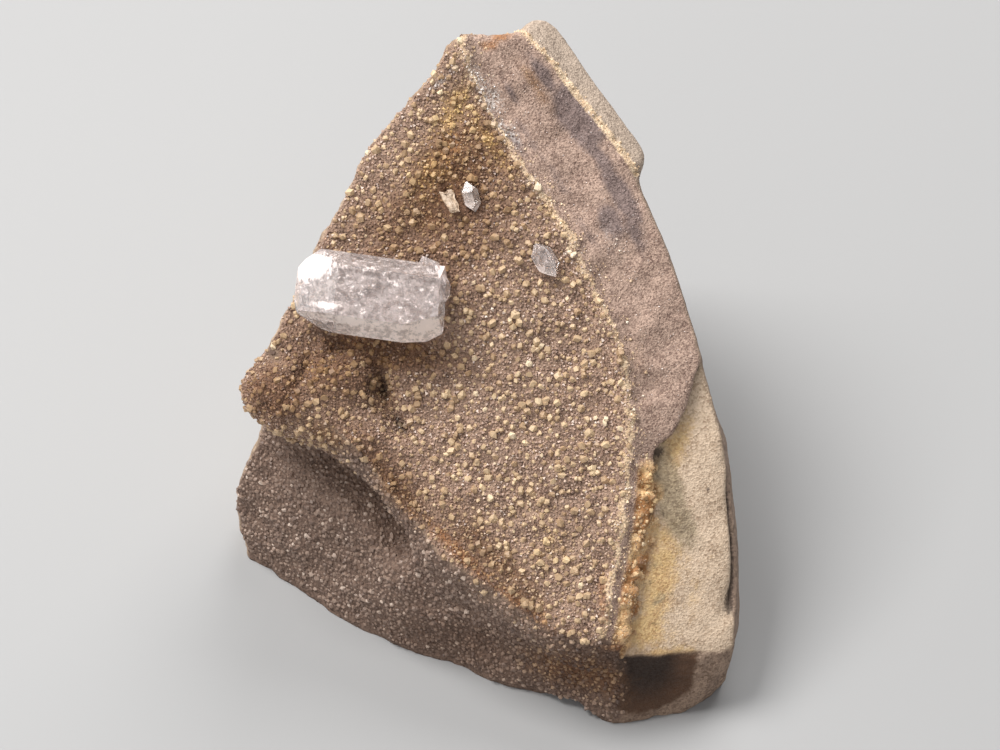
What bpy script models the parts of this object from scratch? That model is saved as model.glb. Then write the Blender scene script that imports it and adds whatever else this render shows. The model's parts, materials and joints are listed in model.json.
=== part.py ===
# Quartz crystals on a wedge broken out of a septarian nodule, standing as it is displayed.
#
# The rock is described in a face frame, the way its crystal-lined crack wall is seen square on:
# u runs to the right, v up the wall and w out of it, in millimetres. The wall leans back, so the
# last step for each piece turns that frame upright and stands the rock on its base.

import math

import bmesh
import bpy
import numpy as np
from mathutils import Euler, Matrix, Vector, noise
from mathutils.bvhtree import BVHTree

MM = 0.001

# How the crack wall stands: the way it faces above the horizon, and its origin above the ground
WALL_ELEVATION = math.radians(50)
WALL_HEIGHT = 28.2

# The nodule that the wedge was broken from
SKIN_CENTRE = (-78.6, -24.1, 0.0)
SKIN_RADIUS = 103.4

# The breaks: a point on each, the way its normal points in the wall's plane in degrees
# anticlockwise from u, and how many degrees that normal tips out towards +w
BREAKS = {
    "left": ((-17.6, 13.0, 0.0), 153.8, -10),
    "upper_left": ((-8.4, 27.8, 0.0), 136, -18),
    "back": ((-2.0, 34.3, 0.0), 104, -28),
    "back_chip": ((-12.0, 24.0, -26.0), 142, -33),
    "back_right": ((16.0, 16.0, -36.0), 52, -38),
    "strip": ((10.0, 28.0, -1.1), 38.8, 46),
    "lower_wall_left": ((-20.3, -22.5, -18.0), 218.7, 40),
    "lower_wall_right": ((0.0, -31.0, -10.9), 238.8, 39.6),
    "lower_end": ((-27.0, -12.0, -18.0), 184, -8),
    "front_foot": ((17.0, -28.1, -2.6), 285, 50),
    "right_foot": ((23.0, -31.6, -8.0), 310, 24),
}
EDGE_ROUNDING = 0.4
SHARP_ROUNDING = 0.2

# Lumps that stand past the breaks, each with its centre, radii and turn: the knob at the left
# end of the rolled lip, and the broken stub at the top
LUMPS = (
    ((-19.6, -1.9, -3.3), (5.1, 3.5, 4.0), -15),
    ((-2.9, 32.4, -1.6), (1.2, 1.5, 1.5), 40),
)

# Rounded ribs, each a path and a radius: the lip that overhangs the lower wall, the pale rim past
# the crust at the upper right, and the rind at the lower right
LIP = (
    (-19.5, -2.2, -3.2),
    (-14.6, -4.2, -2.9),
    (-10.0, -7.4, -2.9),
    (-5.6, -12.6, -3.1),
    (-1.6, -17.6, -3.0),
    (0.2, -19.4, -2.9),
    (4.6, -22.0, -2.9),
    (8.4, -24.0, -3.0),
)
RIM = ((5.0, 34.3, -3.6), (9.2, 28.2, -3.8), (13.4, 22.5, -4.2))
RIND = ((21.2, -7.0, -6.0), (22.3, -15.0, -6.5), (22.5, -24.5, -7.5))
RIBS = ((LIP, 2.9), (RIM, 2.1), (RIND, 2.35))
JOIN_ROUNDING = 1.1
RIM_ROUNDING = 0.35

# The hollow that the lip overhangs, as a path and a radius, and the scoop out of the front foot, as
# a centre and a radius
UNDERCUT = ((-24.5, -6.5, -7.8), (-17.2, -8.0, -5.7), (-12.2, -11.0, -5.8), (-8.6, -15.2, -5.8))
UNDERCUT_RADIUS = 3.4
UNDERCUT_ROUNDING = 0.9
FOOT_SCOOP = ((8.0, -38.0, -12.0), 6.2)

# The druse crust on the wall: its raised crest and its broken edge, as u at each v
CREST = (
    (-27, 11.0), (-22, 11.6), (-17, 12.5), (-10, 13.4), (-3, 13.9), (3, 13.0),
    (10, 9.9), (16, 6.9), (22, 2.6), (27, -0.2), (32, -2.6),
)
CREST_HEIGHT = 0.55
CREST_WIDTH = 0.7
OUTER_SLOPE = 0.17
CRUST_EDGE = (
    (-28, 11.4), (-24, 12.4), (-18, 14.0), (-13, 15.2), (-8.5, 15.9), (-7.0, 16.8),
    (-5.5, 18.4), (-3.0, 19.6), (0.5, 20.6), (4.0, 23.0), (12.0, 30.0),
)
CRUST_STEP = 1.3
CRUST_BLUNTNESS = 0.5

# Dents and rises of the wall: centre, half length, half width, direction in degrees, height
DENTS = (
    ((-10.7, -0.6), 2.3, 0.95, 98, -2.2),
    ((-9.2, -4.2), 1.9, 0.8, 120, -2.0),
    ((-15.4, 3.3), 1.4, 0.75, 40, -1.1),
    ((-18.5, 1.2), 2.1, 0.75, 72, -0.8),
    ((-14.5, 0.3), 2.6, 2.4, 0, 1.3),
    ((-22.0, -1.0), 2.2, 2.0, 20, 0.5),
    ((-12.6, -6.2), 2.4, 1.8, -40, 0.5),
    ((-3.0, 9.0), 9.0, 7.0, 60, 0.5),
    ((8.0, 26.5), 6.0, 1.6, -52, -0.45),
)
FRONT_DEPTH = (-13.0, -6.0)  # the dents fade out between these two values of w

# Chips that broke off the back and the left side, as shallow dishes: the range of their
# directions from the middle of the rock, how far those point back, and their radius and depth
CHIPS = 15
CHIP_FACINGS = (58, 172)
CHIP_TIPS = (-52, -14)
CHIP_RADII = (8.0, 15.0)
CHIP_DEPTHS = (1.1, 2.2)
CHIP_ROUNDING = 0.25

# Cracks between the layers of the rind: their w, half width and depth, where they end and fade
# out as values of v, and how they wander
RIND_CRACKS = ((-3.4, 0.42, 0.75), (-6.2, 0.4, 0.45))
CRACK_ENDS = (-25.0, -9.0)
CRACK_FADE = 3.0
CRACK_WANDER = 0.4
CRACK_WAVE = 2.5
RIND_BAND = (-2.5, -1.0)  # the cracks keep to what lies this far from the skin or nearer

# Roughness of the rock: the length and the height of its waves
ROUGH_WAVES = ((6.0, 0.35), (2.6, 0.16))
NOISE_REACH = 0.62  # the noise seldom goes past this

# Crystal grains of the druse, fused to the rock
GRAIN_ROWS = (-36, 34)
GRAIN_COLUMNS = (-27, 15)
GRAIN_PITCH = 2.6
GRAIN_JITTER = 0.3  # share of the pitch
GRAIN_SIZES = (0.5, 0.78)  # half an edge
GRAIN_STRETCH = (0.85, 1.15)
GRAIN_SINK = 0.25  # share of that size by which the middle lies under the surface
GRAIN_ROOM = 1.0
GRAIN_STEEPEST = 0.3
SEED = 41

# The crystals: each has a centre, the way its long axis points and tips, and a turn about it.
# A prism face is its place round the axis and its distance from it. An end face is its place
# round the axis, the angle of its normal from the axis, and its distance from the centre.
RHOMB = 51.8
QUARTZ = {
    "centre": (-11.8, 8.2, 2.35),
    "axis": (-8, -2),
    "turn": 0,
    "prism": ((86, 2.7), (26, 3.55), (-34, 3.6), (-94, 2.5), (-154, 3.5), (146, 3.45)),
    "left_end": ((86, RHOMB, 4.3), (26, RHOMB, 6.25), (-34, RHOMB, 6.25), (-94, RHOMB, 5.05),
                 (146, 68, 4.45), (-154, 68, 4.9), (140, 28, 7.0)),
    "right_end": ((60, 12, 7.07), (145, 71, 4.43), (-154, RHOMB, 6.5), (-94, 44, 6.2)),
}
QUARTZ_TWIN = {
    "centre": (-5.6, 10.0, 2.1),
    "axis": (-62, 14),
    "turn": 12,
    "prism": tuple((60 * k, r) for k, r in enumerate((1.15, 1.3, 1.1, 1.25, 1.2, 1.1))),
    "left_end": ((0, RHOMB, 1.75), (120, RHOMB, 1.6), (240, RHOMB, 1.7), (60, RHOMB, 1.8)),
    "right_end": ((0, RHOMB, 1.65), (120, RHOMB, 1.5), (240, RHOMB, 1.7), (60, RHOMB, 1.8)),
}
SMALL_QUARTZ = {
    "centre": (5.5, 12.0, 0.75),
    "axis": (-60, 8),
    "turn": 20,
    "prism": tuple((60 * k, r) for k, r in enumerate((0.98, 1.05, 0.95, 1.0, 1.04, 0.92))),
    "left_end": tuple((60 * k, RHOMB, r) for k, r in enumerate((1.25, 1.4, 1.2, 1.45, 1.3, 1.5))),
    "right_end": tuple((60 * k, RHOMB, r) for k, r in enumerate((1.3, 1.2, 1.45, 1.25, 1.5, 1.3))),
}
UPPER_QUARTZ = {
    "centre": (-1.9, 18.3, 0.55),
    "axis": (105, 16),
    "turn": 8,
    "prism": tuple((60 * k, r) for k, r in enumerate((0.8, 0.74, 0.82, 0.76, 0.85, 0.72))),
    "left_end": tuple((60 * k, RHOMB, r) for k, r in enumerate((1.0, 1.2, 1.05, 1.1, 1.0, 1.25))),
    "right_end": tuple((60 * k, RHOMB, r) for k, r in enumerate((1.1, 1.0, 1.2, 1.0, 1.15, 1.05))),
}
PALE_BLADE = {
    "centre": (-3.9, 17.8, 0.75),
    "axis": (-62, 14),
    "turn": 35,
    "prism": ((0, 0.5), (75, 0.62), (180, 0.52), (255, 0.58)),
    "left_end": ((20, 35, 1.25), (200, 52, 1.2)),
    "right_end": ((90, 42, 1.3), (270, 48, 1.15)),
}
CRYSTALS = (QUARTZ, QUARTZ_TWIN, SMALL_QUARTZ, UPPER_QUARTZ, PALE_BLADE)
SEAT_GAP = 0.3

# Mesh sizes
RAY_START = (-1.0, 1.0, -19.0)
RAY_REACH = 80.0
RAY_HALVINGS = 24
RAY_SPHERE = 7
CRYSTAL_BLOCK = 60  # side of the block that a crystal is cut from
SPARE_BASE = 3.5  # rock below the ground, so that the whole base is cut flat
ROCK_VOXEL = 0.34
ROCK_TRIANGLES = 3550


# Frames and small helpers


def face_to_world():
    """The matrix from the face frame, in millimetres, to the upright one, in metres."""
    across = Vector((1, 0, 0))
    up_wall = Vector((0, math.sin(WALL_ELEVATION), math.cos(WALL_ELEVATION)))
    out = Vector((0, -math.cos(WALL_ELEVATION), math.sin(WALL_ELEVATION)))
    turned = Matrix((across, up_wall, out)).transposed().to_4x4()
    return Matrix.Scale(MM, 4) @ Matrix.Translation((0, 0, WALL_HEIGHT)) @ turned


def height_above_ground(points):
    out = points[:, 2] * math.sin(WALL_ELEVATION)
    return points[:, 1] * math.cos(WALL_ELEVATION) + out + WALL_HEIGHT


def pointing(facing, tip):
    """The unit vector that points the given way round the wall's plane and tips out of it."""
    facing, tip = math.radians(facing), math.radians(tip)
    return Vector(
        (math.cos(facing) * math.cos(tip), math.sin(facing) * math.cos(tip), math.sin(tip))
    )


def smooth_max(fields, rounding):
    stack = np.stack(fields)
    top = stack.max(axis=0)
    return top + rounding * np.log(np.exp((stack - top) / rounding).sum(axis=0))


def smooth_min(fields, rounding):
    return -smooth_max([-field for field in fields], rounding)


def smooth_step(low, high, values):
    share = np.clip((values - low) / (high - low), 0, 1)
    return share * share * (3 - 2 * share)


def read_curve(curve, v):
    """u at each v along a curve given as (v, u) pairs."""
    places = np.array(curve)
    return np.interp(v, places[:, 0], places[:, 1])


# The form of the rock, as fields that are below zero inside


def wall_height(u, v):
    """How far the crack wall stands out at each point of it."""
    outside = u - read_curve(CREST, v)
    crest = CREST_HEIGHT * np.exp(-((outside / CREST_WIDTH) ** 2))
    fall = OUTER_SLOPE * np.clip(outside, 0, None)
    past_edge = (u - read_curve(CRUST_EDGE, v)) / CRUST_BLUNTNESS
    step = CRUST_STEP * smooth_step(-1, 1, past_edge)
    return crest - fall - step


def dents(points):
    total = np.zeros(len(points))
    for (u, v), length, width, turn, height in DENTS:
        along = pointing(turn, 0)
        du, dv = points[:, 0] - u, points[:, 1] - v
        far = (du * along.x + dv * along.y) / length
        wide = (dv * along.x - du * along.y) / width
        total += height * np.exp(-(far * far + wide * wide))
    return total * smooth_step(*FRONT_DEPTH, points[:, 2])


def break_field(points, place, facing, tip):
    return (points - np.array(place)) @ np.array(pointing(facing, tip))


def lump_field(points, centre, radii, turn):
    turned_back = np.array(Matrix.Rotation(math.radians(-turn), 3, "Z"))
    local = (points - np.array(centre)) @ turned_back.T
    return (np.linalg.norm(local / np.array(radii), axis=1) - 1) * min(radii)


def rib_field(points, path, radius):
    nearest = np.full(len(points), np.inf)
    for start, end in zip(path, path[1:]):
        start, run = np.array(start), np.array(end) - np.array(start)
        share = np.clip((points - start) @ run / (run @ run), 0, 1)
        gap = np.linalg.norm(points - start - share[:, None] * run, axis=1)
        nearest = np.minimum(nearest, gap)
    return nearest - radius


def core_field(points):
    """The wedge inside its breaks, with what stands past them."""
    skin = np.linalg.norm(points - np.array(SKIN_CENTRE), axis=1) - SKIN_RADIUS
    front = points[:, 2] - wall_height(points[:, 0], points[:, 1])
    breaks = {name: break_field(points, *facts) for name, facts in BREAKS.items()}
    wedge = smooth_max([skin, front, *breaks.values()], EDGE_ROUNDING)
    lumps = [lump_field(points, *facts) for facts in LUMPS]
    lip, rim, rind = [rib_field(points, *facts) for facts in RIBS]
    rim = smooth_max([rim, breaks["strip"]], SHARP_ROUNDING)
    rind = smooth_max([rind, breaks["front_foot"], breaks["right_foot"]], SHARP_ROUNDING)
    joined = smooth_min([wedge, lip, rind, *lumps], JOIN_ROUNDING)
    return smooth_min([joined, rim], RIM_ROUNDING)


def surface_along(field, directions):
    """The points where rays from inside the rock leave the field's form."""
    start = np.array(RAY_START)
    near, far = np.zeros(len(directions)), np.full(len(directions), RAY_REACH)
    for _ in range(RAY_HALVINGS):
        middle = (near + far) / 2
        inside = field(start + directions * middle[:, None]) < 0
        near, far = np.where(inside, middle, near), np.where(inside, far, middle)
    return start + directions * near[:, None]


def chip_balls():
    """The balls whose surfaces the chips follow: a centre and a radius for each."""
    random = np.random.default_rng(SEED)
    facings = random.uniform(*CHIP_FACINGS, CHIPS)
    tips = random.uniform(*CHIP_TIPS, CHIPS)
    directions = np.array([pointing(*way) for way in zip(facings, tips)])
    radii = random.uniform(*CHIP_RADII, CHIPS)
    out = radii - random.uniform(*CHIP_DEPTHS, CHIPS)
    centres = surface_along(core_field, directions) + directions * out[:, None]
    return list(zip(centres, radii))


def rock_field(points, chips):
    dishes = [radius - np.linalg.norm(points - centre, axis=1) for centre, radius in chips]
    scoop, reach = FOOT_SCOOP
    dishes.append(reach - np.linalg.norm(points - np.array(scoop), axis=1))
    hollow = -rib_field(points, UNDERCUT, UNDERCUT_RADIUS)
    core = smooth_max([core_field(points), hollow], UNDERCUT_ROUNDING)
    chipped = smooth_max([core, *dishes], CHIP_ROUNDING)
    ground = -height_above_ground(points) - SPARE_BASE
    return smooth_max([chipped - dents(points), ground], EDGE_ROUNDING)


# Relief of the rock


def waves(points, length):
    """Smooth noise, about -1 to 1, whose waves are about as long as given."""
    return np.array([noise.noise(Vector(point) / length) for point in points]) / NOISE_REACH


def rind_cracks(points):
    """Depth of the cracks along the layers of the rind."""
    v, w = points[:, 1], points[:, 2]
    under_skin = np.linalg.norm(points - np.array(SKIN_CENTRE), axis=1) - SKIN_RADIUS
    bottom, top = CRACK_ENDS
    along = smooth_step(bottom, bottom + CRACK_FADE, v) * smooth_step(top, top - CRACK_FADE, v)
    total = np.zeros(len(points))
    for middle, half_width, depth in RIND_CRACKS:
        away = (w - middle - CRACK_WANDER * np.sin(v / CRACK_WAVE)) / half_width
        total += depth * np.exp(-away * away)
    return total * along * smooth_step(*RIND_BAND, under_skin)


def relief(points):
    """How far the surface moves along its normal at each point."""
    rough = sum(height * waves(points, length) for length, height in ROUGH_WAVES)
    return rough - rind_cracks(points)


# The grains of the druse


def grain_spots():
    """Places on the wall's plane, on a loose hexagonal grid, inside the crest and off the crystals."""
    random = np.random.default_rng(SEED)
    rows = []
    for row, v in enumerate(np.arange(*GRAIN_ROWS, GRAIN_PITCH * math.sin(math.pi / 3))):
        for u in np.arange(*GRAIN_COLUMNS, GRAIN_PITCH):
            rows.append((u + (row % 2) * GRAIN_PITCH / 2, v))
    spots = np.array(rows)
    spots = spots + random.uniform(-GRAIN_JITTER, GRAIN_JITTER, spots.shape) * GRAIN_PITCH
    inside = spots[:, 0] < read_curve(CREST, spots[:, 1]) - GRAIN_ROOM
    return spots[inside & clear_of_crystals(spots)]


def clear_of_crystals(spots):
    clear = np.ones(len(spots), bool)
    for crystal in CRYSTALS:
        along = pointing(crystal["axis"][0], 0)
        half_width = max(distance for _, distance in crystal["prism"])
        half_length = max(end[2] for end in crystal["left_end"] + crystal["right_end"])
        away = spots - np.array(crystal["centre"][:2])
        far = np.abs(away @ np.array(along)[:2]) < half_length + GRAIN_ROOM
        wide = np.abs(away @ np.array((-along.y, along.x))) < half_width + GRAIN_ROOM
        clear &= ~(far & wide)
    return clear


def grain_mesh(surface):
    """Blunt rhombs part sunk in the wall, wherever it isn't too steep."""
    random = np.random.default_rng(SEED)
    tree = BVHTree.FromObject(surface, bpy.context.evaluated_depsgraph_get())
    solid = bmesh.new()
    for u, v in grain_spots():
        size = random.uniform(*GRAIN_SIZES)
        stretch = Matrix.Diagonal((*random.uniform(*GRAIN_STRETCH, 3), 1))
        turn = Euler(random.uniform(0, math.tau, 3)).to_matrix().to_4x4()
        place, normal, _, _ = tree.ray_cast(Vector((u, v, RAY_REACH)), Vector((0, 0, -1)))
        if place is None or normal.z < GRAIN_STEEPEST:
            continue
        if height_above_ground(np.array([place]))[0] < 2 * size:
            continue
        middle = Matrix.Translation(place - normal * size * GRAIN_SINK)
        bmesh.ops.create_cube(solid, size=2 * size, matrix=middle @ turn @ stretch)
    mesh = bpy.data.meshes.new("grains")
    solid.to_mesh(mesh)
    solid.free()
    return mesh


# Meshes


def evaluated_mesh(obj):
    bpy.context.view_layer.update()
    graph = bpy.context.evaluated_depsgraph_get()
    return bpy.data.meshes.new_from_object(obj.evaluated_get(graph))


def bake_modifier(obj, kind, **settings):
    """Puts one modifier on the object, keeps its result as the mesh and takes it off again."""
    modifier = obj.modifiers.new(kind.title(), kind)
    for name, value in settings.items():
        setattr(modifier, name, value)
    made = evaluated_mesh(obj)
    obj.modifiers.clear()
    obj.data = made


def add_helper(name, mesh):
    helper = add_object(name, mesh)
    helper.hide_render = True
    helper.display_type = "WIRE"
    return helper


def add_object(name, mesh, material=None):
    obj = bpy.data.objects.new(name, mesh)
    bpy.context.scene.collection.objects.link(obj)
    if material is not None:
        mesh.materials.clear()
        mesh.materials.append(material)
    return obj


def mesh_points(mesh):
    points = np.empty(len(mesh.vertices) * 3, np.float32)
    normals = np.empty(len(mesh.vertices) * 3, np.float32)
    mesh.vertices.foreach_get("co", points)
    mesh.vertex_normals.foreach_get("vector", normals)
    return points.reshape(-1, 3).astype(float), normals.reshape(-1, 3).astype(float)


def grind_base(mesh):
    """Cuts the rock flat on the ground."""
    solid = bmesh.new()
    solid.from_mesh(mesh)
    everything = list(solid.verts) + list(solid.edges) + list(solid.faces)
    cut = bmesh.ops.bisect_plane(
        solid, geom=everything, plane_co=(0, 0, 0), plane_no=(0, 0, -1), clear_outer=True
    )
    rim = [item for item in cut["geom_cut"] if isinstance(item, bmesh.types.BMEdge)]
    bmesh.ops.triangle_fill(solid, edges=rim, use_beauty=True, normal=(0, 0, -1))
    bmesh.ops.recalc_face_normals(solid, faces=solid.faces)
    solid.to_mesh(mesh)
    solid.free()


def shrink_wrapped_rock():
    """A ball whose points are drawn in along rays onto the rock's form."""
    chips = chip_balls()
    ball = bmesh.new()
    bmesh.ops.create_icosphere(ball, subdivisions=RAY_SPHERE, radius=1)
    directions = np.array([vertex.co.normalized() for vertex in ball.verts])
    places = surface_along(lambda points: rock_field(points, chips), directions)
    for vertex, place in zip(ball.verts, places):
        vertex.co = place
    mesh = bpy.data.meshes.new("septarian_rock")
    ball.to_mesh(mesh)
    ball.free()
    return mesh


def carve_rock(material):
    """The rock: an even mesh of its form, the relief, fewer faces, the grains, then a flat base."""
    rock = add_object("septarian_rock", shrink_wrapped_rock())
    bake_modifier(rock, "REMESH", mode="VOXEL", voxel_size=ROCK_VOXEL)
    points, normals = mesh_points(rock.data)
    points += normals * relief(points)[:, None]
    rock.data.vertices.foreach_set("co", points.astype(np.float32).ravel())
    rock.data.update()
    triangles = 2 * len(rock.data.polygons)
    bake_modifier(rock, "DECIMATE", ratio=ROCK_TRIANGLES / triangles)
    grains = add_helper("grains", grain_mesh(rock))
    bake_modifier(rock, "BOOLEAN", operation="UNION", object=grains, use_self=True)
    bpy.data.objects.remove(grains)
    rock.data.transform(face_to_world())
    grind_base(rock.data)
    rock.data.materials.append(material)
    return rock


def crystal_frame(crystal):
    """The matrix from the crystal's own frame, x along its axis, to the face frame."""
    along = pointing(*crystal["axis"])
    level = Vector((-along.y, along.x, 0)).normalized()
    turned = Matrix((along, level, along.cross(level))).transposed()
    turned = turned @ Matrix.Rotation(math.radians(crystal["turn"]), 3, "X")
    return Matrix.Translation(crystal["centre"]) @ turned.to_4x4()


def crystal_faces(crystal):
    """The normal and distance of each face in the crystal's own frame."""
    faces = []
    for place, distance in crystal["prism"]:
        round_axis = math.radians(place)
        faces.append((Vector((0, math.cos(round_axis), math.sin(round_axis))), distance))
    for end, way in (("left_end", -1), ("right_end", 1)):
        for place, lean, distance in crystal[end]:
            round_axis, lean = math.radians(place), math.radians(lean)
            out = math.sin(lean)
            normal = (way * math.cos(lean), out * math.cos(round_axis), out * math.sin(round_axis))
            faces.append((Vector(normal), distance))
    return faces


def cut_crystal(crystal, growth=0.0):
    """A block cut to the crystal's faces, each moved out by the growth."""
    solid = bmesh.new()
    bmesh.ops.create_cube(solid, size=CRYSTAL_BLOCK)
    for normal, distance in crystal_faces(crystal):
        everything = list(solid.verts) + list(solid.edges) + list(solid.faces)
        cut = bmesh.ops.bisect_plane(
            solid,
            geom=everything,
            plane_co=normal * (distance + growth),
            plane_no=normal,
            clear_outer=True,
        )
        rim = [item for item in cut["geom_cut"] if isinstance(item, bmesh.types.BMEdge)]
        if rim:
            bmesh.ops.edgeloop_fill(solid, edges=rim)
    bmesh.ops.recalc_face_normals(solid, faces=solid.faces)
    mesh = bpy.data.meshes.new("crystal")
    solid.to_mesh(mesh)
    solid.free()
    mesh.transform(face_to_world() @ crystal_frame(crystal))
    return mesh


def grow_crystal(name, material, *crystals):
    """One crystal, or several that grew together."""
    obj = add_object(name, cut_crystal(crystals[0]), material)
    for other in crystals[1:]:
        helper = add_helper(name + "_intergrown", cut_crystal(other))
        join = obj.modifiers.new("Intergrown", "BOOLEAN")
        join.operation = "UNION"
        join.object = helper
    return obj


def cut_seats(rock):
    for number, crystal in enumerate(CRYSTALS):
        seat = rock.modifiers.new("Seat", "BOOLEAN")
        seat.operation = "DIFFERENCE"
        seat.object = add_helper(f"seat_{number}", cut_crystal(crystal, SEAT_GAP))


def make_material(name, colour, roughness, transmission=0.0):
    material = bpy.data.materials.new(name)
    material.use_nodes = True
    shader = material.node_tree.nodes["Principled BSDF"]
    shader.inputs["Base Color"].default_value = (*colour, 1)
    shader.inputs["Roughness"].default_value = roughness
    shader.inputs["Transmission Weight"].default_value = transmission
    return material


def centre_on_origin(objects):
    """Slides the whole piece over the ground so that its box is centred on the origin."""
    corners = np.concatenate([mesh_points(evaluated_mesh(obj))[0] for obj in objects])
    middle = (corners.min(axis=0) + corners.max(axis=0)) / 2
    for mesh in {obj.data for obj in bpy.data.objects if obj.type == "MESH"}:
        mesh.transform(Matrix.Translation((-middle[0], -middle[1], 0)))


def main():
    for obj in list(bpy.data.objects):
        bpy.data.objects.remove(obj)
    stone = make_material("septarian stone", (0.33, 0.22, 0.15), 0.85)
    clear = make_material("clear quartz", (0.95, 0.94, 0.95), 0.05, 1.0)
    pale = make_material("pale calcite", (0.62, 0.52, 0.36), 0.45)
    rock = carve_rock(stone)
    crystals = [
        grow_crystal("quartz_crystal", clear, QUARTZ, QUARTZ_TWIN),
        grow_crystal("small_quartz_crystal", clear, SMALL_QUARTZ),
        grow_crystal("upper_quartz_crystal", clear, UPPER_QUARTZ),
        grow_crystal("pale_calcite_blade", pale, PALE_BLADE),
    ]
    cut_seats(rock)
    centre_on_origin([rock, *crystals])


main()
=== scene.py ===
import json
import math

import bmesh
import bpy
import numpy as np
from mathutils import Matrix, Vector, noise
from mathutils.bvhtree import BVHTree

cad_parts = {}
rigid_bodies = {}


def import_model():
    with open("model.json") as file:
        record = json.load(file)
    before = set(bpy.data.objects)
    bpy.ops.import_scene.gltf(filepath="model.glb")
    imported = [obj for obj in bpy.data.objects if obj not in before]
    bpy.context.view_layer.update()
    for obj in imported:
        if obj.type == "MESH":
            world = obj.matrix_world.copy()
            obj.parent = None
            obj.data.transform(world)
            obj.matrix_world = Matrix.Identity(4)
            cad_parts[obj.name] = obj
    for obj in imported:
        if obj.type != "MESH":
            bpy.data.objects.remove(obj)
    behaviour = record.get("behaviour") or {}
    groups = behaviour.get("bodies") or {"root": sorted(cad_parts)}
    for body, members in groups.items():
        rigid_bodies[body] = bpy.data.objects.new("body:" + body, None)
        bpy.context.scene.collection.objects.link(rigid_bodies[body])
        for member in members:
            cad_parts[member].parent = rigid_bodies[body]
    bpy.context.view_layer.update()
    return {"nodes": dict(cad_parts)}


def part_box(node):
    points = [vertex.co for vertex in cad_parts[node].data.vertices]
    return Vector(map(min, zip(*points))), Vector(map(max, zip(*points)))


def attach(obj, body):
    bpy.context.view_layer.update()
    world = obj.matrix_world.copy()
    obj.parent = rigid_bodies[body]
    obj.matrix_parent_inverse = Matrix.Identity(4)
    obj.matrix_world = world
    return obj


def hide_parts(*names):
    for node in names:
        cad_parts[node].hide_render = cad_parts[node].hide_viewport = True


# Quartz crystals on a wedge of septarian nodule. The rock is worked out in a face frame, the way its
# crystal-lined crack wall is seen square on: u to the right, v up the wall, w out of it, in mm.

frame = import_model()
print("frame loaded:", ", ".join(sorted(frame["nodes"])))

stand = {
    "wallElevation": math.radians(50),  # the way the wall faces above the horizon
    "wallHeight": 28.2,  # of the face frame's origin above the ground
    "slide": (0.7022, -7.4517),  # over the ground, to centre the piece
}


def faceToWorld():
    sine, cosine = math.sin(stand["wallElevation"]), math.cos(stand["wallElevation"])
    turned = Matrix(((1, 0, 0), (0, sine, cosine), (0, -cosine, sine))).transposed().to_4x4()
    moved = Matrix.Translation((*stand["slide"], stand["wallHeight"]))
    return Matrix.Scale(0.001, 4) @ moved @ turned


def heightAboveGround(points):
    sine, cosine = math.sin(stand["wallElevation"]), math.cos(stand["wallElevation"])
    return points[:, 1] * cosine + points[:, 2] * sine + stand["wallHeight"]


# Camera at the photograph's viewing angle, 1000 pixels of it to 100 mm at the wall

view = {"target": (1.0, 0.5, 0.0), "distance": 300.0, "frameWidth": 100.0, "sensor": 36.0}


def placeCamera():
    camera = bpy.data.objects.new("camera", bpy.data.cameras.new("camera"))
    bpy.context.scene.collection.objects.link(camera)
    target = faceToWorld() @ Vector(view["target"])
    back = Vector((0, -math.cos(stand["wallElevation"]), math.sin(stand["wallElevation"])))
    camera.location = target + back * view["distance"] * 0.001
    camera.rotation_euler = (-back).to_track_quat("-Z", "Y").to_euler()
    camera.data.sensor_width = view["sensor"]
    camera.data.lens = view["sensor"] * view["distance"] / view["frameWidth"]
    camera.data.clip_start = 0.01
    bpy.context.scene.camera = camera


placeCamera()

# Node trees: a socket that takes arithmetic, and a tree that makes any node


class Wire:
    def __init__(self, tree, socket):
        self.tree, self.socket = tree, socket

    def __add__(self, other):
        return self.tree.math("ADD", self, other)

    __radd__ = __add__

    def __sub__(self, other):
        return self.tree.math("SUBTRACT", self, other)

    def __rsub__(self, other):
        return self.tree.math("SUBTRACT", other, self)

    def __mul__(self, other):
        return self.tree.math("MULTIPLY", self, other)

    __rmul__ = __mul__

    def __truediv__(self, other):
        return self.tree.math("DIVIDE", self, other)


class Tree:
    def __init__(self, tree):
        self.nodes, self.links = tree.nodes, tree.links
        self.nodes.clear()

    def node(self, kind, settings=None, inputs=None, output=0):
        made = self.nodes.new(kind)
        for name, value in (settings or {}).items():
            if name == "stops":
                self.setStops(made.color_ramp, value)
            else:
                setattr(made, name, value)
        for name, value in (inputs or {}).items():
            socket = self.socketOf(made.inputs, name)
            if isinstance(value, Wire):
                self.links.new(value.socket, socket)
            else:
                socket.default_value = value
        return Wire(self, self.socketOf(made.outputs, output)) if made.outputs else made

    def socketOf(self, sockets, name):
        if isinstance(name, int):
            return sockets[name]
        return next(socket for socket in sockets if socket.name == name and socket.enabled)

    def setStops(self, ramp, stops):
        while len(ramp.elements) < len(stops):
            ramp.elements.new(1.0)
        for element, (place, colour) in zip(ramp.elements, stops):
            element.position = place
            element.color = colour

    def math(self, operation, *values):
        return self.node("ShaderNodeMath", {"operation": operation}, dict(enumerate(values)))


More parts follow.
